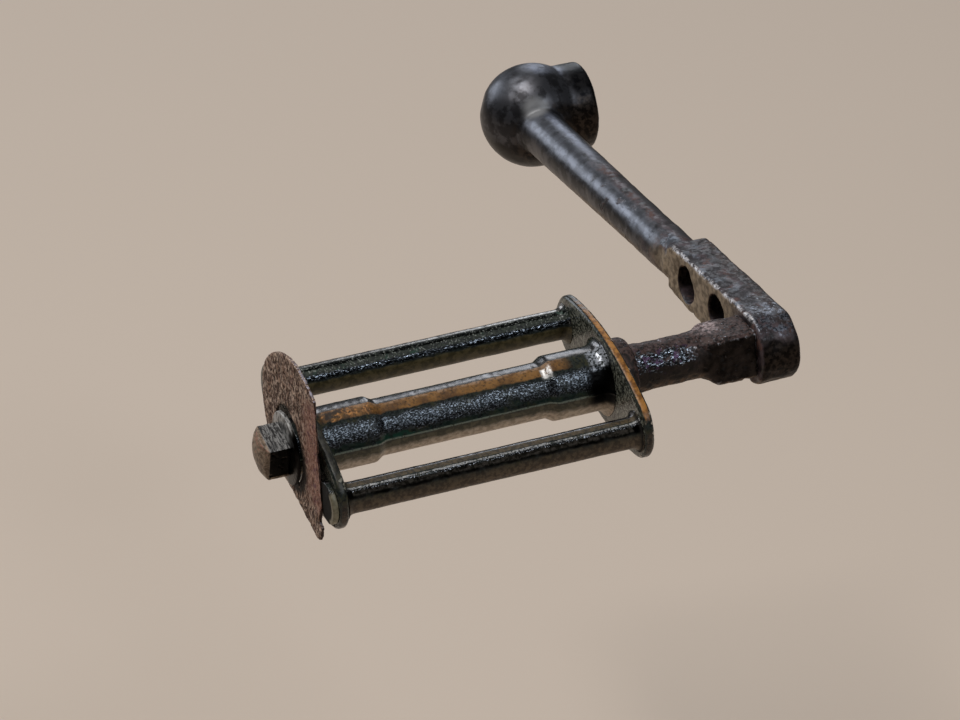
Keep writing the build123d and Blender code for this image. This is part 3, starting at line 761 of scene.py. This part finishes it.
def washer_finish():
    """Coned washer: pale steel over its upper part as painted light, with worn edges there, and black as
    painted shade on its front and below.
    """
    f = Finish("worn_washer_steel", (0.004, 0.003, 0.002), METAL, 0.36, specular=0.3)
    turned = f.stretched((0.3, 1.0, 0.3))
    # Painted light: pale steel only round the upper part
    above = f.near(WASHER_LIT_AT, ACROSS_SPINDLE, 9.5, 14.0)
    steel = f.colour(f.mottle(0.6, 0.38, 0.62, 2.0, turned), (0.050, 0.048, 0.046), (0.34, 0.335, 0.325))
    f.lay(above, steel)
    # Painted shade: black on the front
    f.lay(f.facing(WASHER_FRONT, 0.50, 0.80), (0.008, 0.006, 0.005), 0.0, 0.9)
    f.lay(f.near(WASHER_LIP_AT, ACROSS_SPINDLE, 2.0, 3.6), (0.16, 0.100, 0.060))
    f.lay(f.both(f.edges("Worn"), above), (0.52, 0.51, 0.50))
    return f.done(f.bump(f.grain(0.5, turned), 0.10))


# Mesh helpers

def cad_copy(node):
    """A merged copy of a CAD node's mesh."""
    bm = bmesh.new()
    bm.from_mesh(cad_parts[node].data)
    bmesh.ops.remove_doubles(bm, verts=bm.verts, dist=MERGE_DISTANCE)
    return bm


def remeshed(bm, voxel_mm, smoothing):
    """The same closed shape with even quads, its corners softened by rounds of smoothing."""
    mesh = bpy.data.meshes.new("rough")
    bm.to_mesh(mesh)
    bm.free()
    holder = bpy.data.objects.new("rough", mesh)
    bpy.context.scene.collection.objects.link(holder)
    modifier = holder.modifiers.new("voxels", "REMESH")
    modifier.mode = "VOXEL"
    modifier.voxel_size = voxel_mm * MM
    graph = bpy.context.evaluated_depsgraph_get()
    even = bpy.data.meshes.new_from_object(holder.evaluated_get(graph))
    out = bmesh.new()
    out.from_mesh(even)
    bpy.data.objects.remove(holder)
    bpy.data.meshes.remove(mesh)
    bpy.data.meshes.remove(even)
    for _ in range(smoothing):
        bmesh.ops.smooth_vert(
            out, verts=out.verts, factor=SMOOTHING_FACTOR,
            use_axis_x=True, use_axis_y=True, use_axis_z=True,
        )
    return out


def cloud(point, grain, seed, stretch=EVEN):
    """Soft noise of one grain size in mm, mostly between -0.6 and 0.6."""
    place = Vector([c / (grain * MM * s) for c, s in zip(point, stretch)])
    return noise.noise(place + Vector([seed * step for step in SEED_STEPS]))


def layer(depth, grain, level=None, stretch=EVEN):
    """One layer of wear, with its depth and grain in mm: with a level, only the noise above it cuts in."""
    return depth, grain, level, stretch


def weather(bm, layers, seed, calm):
    """Moves each vertex along its normal by layers of wear, less where the piece is calmer."""
    bm.normal_update()
    for vertex in bm.verts:
        push = 0.0
        for depth, grain, level, stretch in layers:
            value = cloud(vertex.co, grain, seed, stretch)
            if level is None:
                push += depth * value
            else:
                push -= depth * max(0.0, value - level) / (1.0 - level)
        share = calm(vertex) if calm else 1.0
        vertex.co += vertex.normal * (push * share * MM)


def held(value):
    """The value, kept between 0 and 1."""
    return min(1.0, max(0.0, value))


def smoother_shank(vertex):
    """The crank's ball and shank are worn smoother than its flat end."""
    return SHANK_SHARE + (1.0 - SHANK_SHARE) * held((vertex.co.x - SHANK_END) / SHANK_FADE)


def smoother_rim(vertex):
    """The guard's cut edge is less eaten than its faces."""
    return RIM_SHARE + (1.0 - RIM_SHARE) * vertex.normal.y ** 2


def raise_line(bm, axis, direction, radius_mm, height_mm, width_mm):
    """A fine ragged ridge along a round piece, on the side that faces a direction."""
    bm.normal_update()
    facing = Vector(direction)
    across = Vector((-facing.z, 0, facing.x))
    for vertex in bm.verts:
        offset = vertex.co - Vector((axis.x, vertex.co.y, axis.z))
        if offset.length < radius_mm * MM or offset.dot(facing) < 0:
            continue
        side = offset.dot(across) / MM + LINE_WANDER * cloud(vertex.co, WANDER_GRAIN, WANDER_SEED)
        ragged = RAGGED_MEAN + cloud(vertex.co, RAGGED_GRAIN, RAGGED_SEED)
        vertex.co += vertex.normal * (height_mm * MM * ragged * math.exp(-((side / width_mm) ** 2)))


def moulding_lines(bm):
    """The line that the mould's two halves left along both sides of the barrel."""
    angle = math.radians(MOULD_ANGLE)
    side = Vector((math.cos(angle), 0, math.sin(angle)))
    raise_line(bm, BARREL_AXIS, side, *MOULD_LINE)
    raise_line(bm, BARREL_AXIS, -side, *MOULD_LINE)


def front_wear_line(bm):
    """The worn line along the front rod."""
    raise_line(bm, FRONT_ROD_AXIS, FRONT_WEAR, *FRONT_WEAR_LINE)


def rear_wear_line(bm):
    """The worn line along the rear rod."""
    raise_line(bm, REAR_ROD_AXIS, REAR_WEAR, *REAR_WEAR_LINE)


def thin_margin(bm):
    """The guard thins towards its front edge, which is marked for the finish and has a nub of scale."""
    mark = bm.verts.layers.float.new("margin")
    front = {}
    for vertex in bm.verts:
        band = round(vertex.co.z / MM)
        front[band] = max(front.get(band, -1.0), vertex.co.x)
    middle = sum(vertex.co.y for vertex in bm.verts) / len(bm.verts)
    for vertex in bm.verts:
        height = vertex.co.z / MM
        inset = (front[round(height)] - vertex.co.x) / MM
        above_foot = held((height - MARGIN_FOOT) / MARGIN_FADE)
        below_top = held((MARGIN_TOP - height) / MARGIN_FADE)
        reach = max(0.0, 1.0 - inset / MARGIN_WIDTH) * (above_foot * below_top)
        vertex[mark] = min(1.0, MARK_STRENGTH * reach)
        if vertex.co.y < middle:
            vertex.co.y += MARGIN_DEPTH * MM * reach
        nub = (vertex.co - NUB_AT).length / (NUB_RADIUS * MM)
        vertex.co.x += NUB_HEIGHT * MM * math.exp(-nub * nub)


def finish_piece(name, bm, body, nodes, material):
    """Makes the piece's object, which rides on a body and stands for its CAD nodes."""
    mesh = bpy.data.meshes.new(name)
    bm.normal_update()
    bm.to_mesh(mesh)
    bm.free()
    mesh.shade_smooth()
    mesh.materials.append(material)
    piece = bpy.data.objects.new(name, mesh)
    bpy.context.scene.collection.objects.link(piece)
    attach(piece, body)
    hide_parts(*nodes)


def remake(seed, name, node, body, slot, material, voxel_mm, smoothing, wear, calm=None, own_shape=None):
    """Remakes one CAD node as a worn piece with its own finish."""
    shape = remeshed(cad_copy(node), voxel_mm, smoothing)
    if own_shape:
        own_shape(shape)
    weather(shape, wear, seed, calm)
    finish_piece(name, shape, body, [node], material)


# Pieces, each one remade from its CAD node

SPINDLE_IRON = spindle_finish()
CAST_WEAR = [layer(0.10, 9.0), layer(0.03, 1.4), layer(0.12, 2.0, 0.36)]
REMADE = [
    dict(
        name="forged_arm", node="crank_arm", body="crank", slot="forged_iron", material=crank_finish(),
        voxel_mm=0.50, smoothing=4, calm=smoother_shank,
        wear=[layer(0.34, 12.0), layer(0.26, 5.0), layer(0.40, 4.0, 0.30), layer(0.8, 7.0, 0.36)],
    ),
    dict(
        name="pitted_spindle", node="pedal_spindle", body="crank", slot="spindle_iron", material=SPINDLE_IRON,
        voxel_mm=0.36, smoothing=3,
        wear=[layer(0.18, 6.0), layer(0.16, 1.5), layer(0.50, 2.0, 0.22)],
    ),
    dict(
        name="spindle_bead", node="inner_collar", body="crank", slot="spindle_iron", material=SPINDLE_IRON,
        voxel_mm=0.3, smoothing=2,
        wear=[layer(0.15, 4.0), layer(0.35, 1.8, 0.25)],
    ),
    dict(
        name="pedal_barrel", node="barrel", body="pedal", slot="gunmetal", material=barrel_finish(),
        voxel_mm=0.35, smoothing=3, wear=CAST_WEAR, own_shape=moulding_lines,
    ),
    dict(
        name="front_tread_rod", node="front_rod", body="pedal", slot="gunmetal", material=front_rod_finish(),
        voxel_mm=0.28, smoothing=3, wear=CAST_WEAR, own_shape=front_wear_line,
    ),
    dict(
        name="rear_tread_rod", node="rear_rod", body="pedal", slot="gunmetal", material=rear_rod_finish(),
        voxel_mm=0.28, smoothing=3, wear=CAST_WEAR, own_shape=rear_wear_line,
    ),
    dict(
        name="inner_end_plate", node="inner_plate", body="pedal", slot="gunmetal",
        material=plate_finish(
            "inner_plate_gunmetal", bloom_light=(0.19, 0.195, 0.160),
            warm_dark=(0.13, 0.050, 0.008), warm_light=(0.34, 0.150, 0.032), arris=(0.44, 0.38, 0.31),
        ),
        voxel_mm=0.3, smoothing=2, wear=CAST_WEAR,
    ),
    dict(
        name="outer_end_plate", node="outer_plate", body="pedal", slot="gunmetal",
        # A darker copy of the inner plate's finish: painted shade from the guard in front of this plate
        material=plate_finish(
            "outer_plate_gunmetal_shaded", bloom_light=(0.080, 0.083, 0.066),
            warm_dark=(0.009, 0.009, 0.007), warm_light=(0.040, 0.036, 0.024), arris=(0.20, 0.19, 0.155),
        ),
        voxel_mm=0.3, smoothing=2, wear=CAST_WEAR,
    ),
    dict(
        name="rusty_guard", node="guard_plate", body="pedal", slot="rusty_sheet", material=sheet_finish(),
        voxel_mm=0.26, smoothing=1, calm=smoother_rim, own_shape=thin_margin,
        wear=[layer(0.12, 5.0), layer(0.22, 0.9, None, UPRIGHT), layer(0.30, 1.3, 0.18, UPRIGHT)],
    ),
    dict(
        name="coned_washer", node="end_washer", body="crank", slot="nut_steel", material=washer_finish(),
        voxel_mm=0.22, smoothing=2,
        wear=[layer(0.08, 3.0), layer(0.05, 0.9)],
    ),
    dict(
        name="cap_nut", node="end_nut", body="crank", slot="nut_steel", material=nut_finish(),
        voxel_mm=0.2, smoothing=1,
        wear=[layer(0.08, 3.0), layer(0.10, 0.8, None, ROUND_NUT), layer(0.25, 1.0, 0.25)],
    ),
]
for seed, row in enumerate(REMADE, start=3):
    remake(seed, **row)


# Camera at the photograph's angle, its place in metres

CAMERA_AT = Vector((1.3101, -0.5031, 0.5827))
CAMERA_RIGHT = Vector((0.36072, 0.93049, -0.06384))
CAMERA_UP = Vector((-0.38162, 0.20971, 0.90021))

camera_data = bpy.data.cameras.new("camera")
camera_data.lens = 180.04
camera_data.sensor_width = 36.0
camera_data.clip_start = 0.05
camera_data.clip_end = 60.0
camera = bpy.data.objects.new("camera", camera_data)
bpy.context.scene.collection.objects.link(camera)
back = CAMERA_RIGHT.cross(CAMERA_UP).normalized()
up = back.cross(CAMERA_RIGHT).normalized()
turn = Matrix((CAMERA_RIGHT, up, back)).transposed()
camera.matrix_world = Matrix.Translation(CAMERA_AT) @ turn.to_4x4()
bpy.context.scene.camera = camera


# Floor, world and lamps, in metres

FLOOR_DEPTH = -0.22
FLOOR_SIZE = 30.0
FLOOR_PATCHES = 1.5
FLOOR_DARK = (0.565, 0.470, 0.385)
FLOOR_LIGHT = (0.595, 0.495, 0.41)
SKY = (0.93, 0.96, 1.0, 1)
SKY_STRENGTH = 0.12
AIM = Vector((0.12, -0.06, 0.0))
DAYLIGHT = (0.88, 0.93, 1.0)

# Lamps: name, direction from the object, distance, size, brightness per area, colour
LAMPS = [
    ("overhead", (-0.08, -0.26, 0.96), 1.8, (0.95, 0.80), 10.0, (1.0, 0.985, 0.965)),
    ("back_window_outboard", (-0.86, -0.40, 0.32), 1.9, (0.75, 0.62), 3.8, DAYLIGHT),
    ("back_window_inboard", (-0.82, 0.37, 0.42), 1.9, (0.45, 1.10), 2.7, DAYLIGHT),
    ("front_window", (0.72, 0.30, 0.63), 2.2, (0.45, 0.45), 17.0, (0.88, 0.94, 1.0)),
]


def build_floor():
    """A pale floor well below the part, with broad faint patches."""
    bm = bmesh.new()
    bmesh.ops.create_grid(bm, x_segments=1, y_segments=1, size=FLOOR_SIZE / 2)
    bmesh.ops.translate(bm, verts=bm.verts, vec=(0, 0, FLOOR_DEPTH))
    mesh = bpy.data.meshes.new("floor")
    bm.to_mesh(mesh)
    bm.free()
    material = bpy.data.materials.new("pale_floor")
    material.use_nodes = True
    tree = material.node_tree
    tree.nodes.clear()
    place = put(tree, "ShaderNodeTexCoord").outputs["Object"]
    patches = noise_node(tree, place, FLOOR_PATCHES, detail=3.0)["Fac"]
    colour = blend_colours(tree, patches, FLOOR_DARK, FLOOR_LIGHT)
    shader = put(tree, "ShaderNodeBsdfPrincipled", {"Base Color": colour, "Roughness": 0.9})
    put(tree, "ShaderNodeOutputMaterial", {"Surface": shader.outputs[0]})
    mesh.materials.append(material)
    floor = bpy.data.objects.new("floor", mesh)
    bpy.context.scene.collection.objects.link(floor)


def add_lamp(name, direction, distance, size, brightness, colour):
    """A soft window of light that shines on the object from a direction."""
    data = bpy.data.lights.new(name, "AREA")
    data.shape = "RECTANGLE"
    data.size, data.size_y = size
    data.energy = brightness * math.pi * size[0] * size[1]
    data.color = colour
    lamp = bpy.data.objects.new(name, data)
    toward = Vector(direction).normalized()
    lamp.location = AIM + toward * distance
    lamp.rotation_euler = toward.to_track_quat("Z", "Y").to_euler()
    bpy.context.scene.collection.objects.link(lamp)


build_floor()
world = bpy.data.worlds.new("world")
world.use_nodes = True
bpy.context.scene.world = world
world.node_tree.nodes["Background"].inputs["Color"].default_value = SKY
world.node_tree.nodes["Background"].inputs["Strength"].default_value = SKY_STRENGTH
for lamp_row in LAMPS:
    add_lamp(*lamp_row)

scene = bpy.context.scene
scene.view_settings.view_transform = "Standard"
